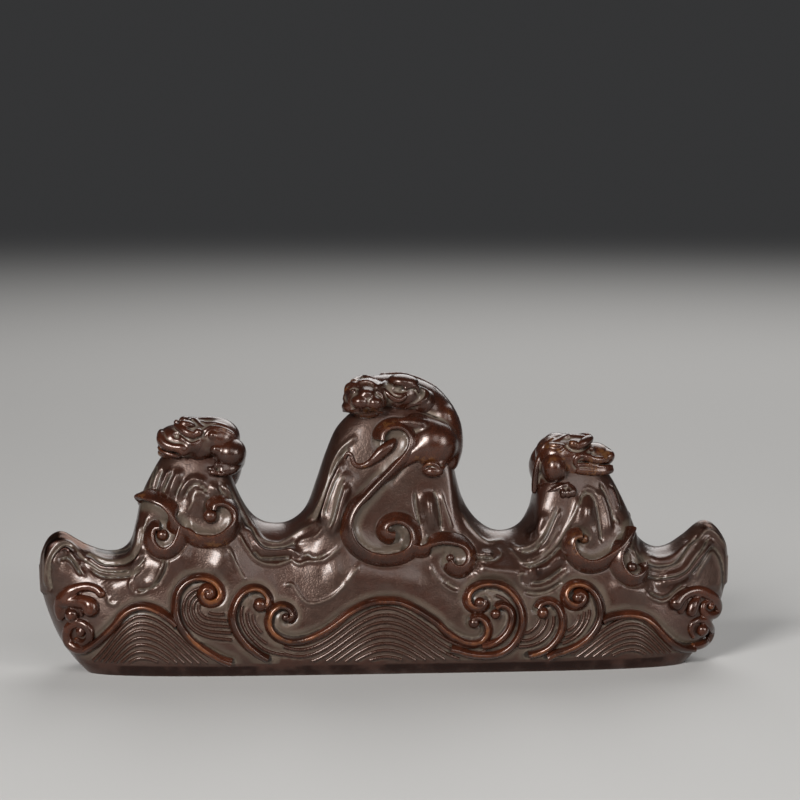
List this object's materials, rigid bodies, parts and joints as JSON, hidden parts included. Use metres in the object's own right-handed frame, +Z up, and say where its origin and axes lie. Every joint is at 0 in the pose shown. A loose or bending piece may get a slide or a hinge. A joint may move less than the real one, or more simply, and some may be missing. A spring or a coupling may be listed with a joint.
{
  "type": "brush rest",
  "caption": "Long bronze rest for writing brushes: a peaked mountain over breaking waves, with a small hornless dragon on each tall peak and brush valleys between the peaks.",
  "frame": {"origin": "centre of the flat foot, on the surface it stands on", "axes": "+X along the rest from the left lobe to the right lobe, +Y from the front face to the back face, +Z up"},
  "size_m": [0.166, 0.0336, 0.0705],
  "materials": {
    "rock_bronze": "dark brown patina, satin, dusty grey-brown in the hollows",
    "fold_bronze": "dark brown patina, rubbed smooth on the folds",
    "wave_bronze": "red-brown patina worn orange-brown on the crests",
    "line_bronze": "brown patina with darker hollows between the lines",
    "dragon_bronze": "glossy deep red-brown patina with golden rubbed spots"
  },
  "bodies": {
    "root": {"mountain": "rock_bronze", "left_lobe_folds": "fold_bronze", "left_peak_folds": "fold_bronze", "left_valley_folds": "fold_bronze", "centre_peak_folds": "fold_bronze", "right_valley_folds": "fold_bronze", "right_peak_folds": "fold_bronze", "right_lobe_folds": "fold_bronze", "left_fan_crest": "wave_bronze", "left_fan_lines": "line_bronze", "left_breaker": "wave_bronze", "left_breaker_lines": "line_bronze", "second_breaker": "wave_bronze", "second_breaker_lines": "line_bronze", "centre_swell": "wave_bronze", "centre_swell_lines": "line_bronze", "right_breaker": "wave_bronze", "right_breaker_lines": "line_bronze", "fourth_breaker": "wave_bronze", "fourth_breaker_lines": "line_bronze", "fifth_breaker": "wave_bronze", "fifth_breaker_lines": "line_bronze", "right_fan_crest": "wave_bronze", "right_fan_lines": "line_bronze", "left_end_cloud": "wave_bronze", "right_end_cloud": "wave_bronze", "back_left_fan": "wave_bronze", "back_left_breaker": "wave_bronze", "back_second_breaker": "wave_bronze", "back_swell": "wave_bronze", "back_right_breaker": "wave_bronze", "back_fourth_breaker": "wave_bronze", "back_fifth_breaker": "wave_bronze", "back_right_fan": "wave_bronze", "back_water_lines": "line_bronze", "back_folds": "fold_bronze", "left_dragon_head": "dragon_bronze", "left_dragon_body": "dragon_bronze", "left_dragon_paw": "dragon_bronze", "left_dragon_tail": "dragon_bronze", "centre_dragon_head": "dragon_bronze", "centre_dragon_body": "dragon_bronze", "centre_dragon_legs": "dragon_bronze", "centre_dragon_tail": "dragon_bronze", "right_dragon_head": "dragon_bronze", "right_dragon_body": "dragon_bronze", "right_dragon_paw": "dragon_bronze", "right_dragon_tail": "dragon_bronze"}
  },
  "joints": []
}
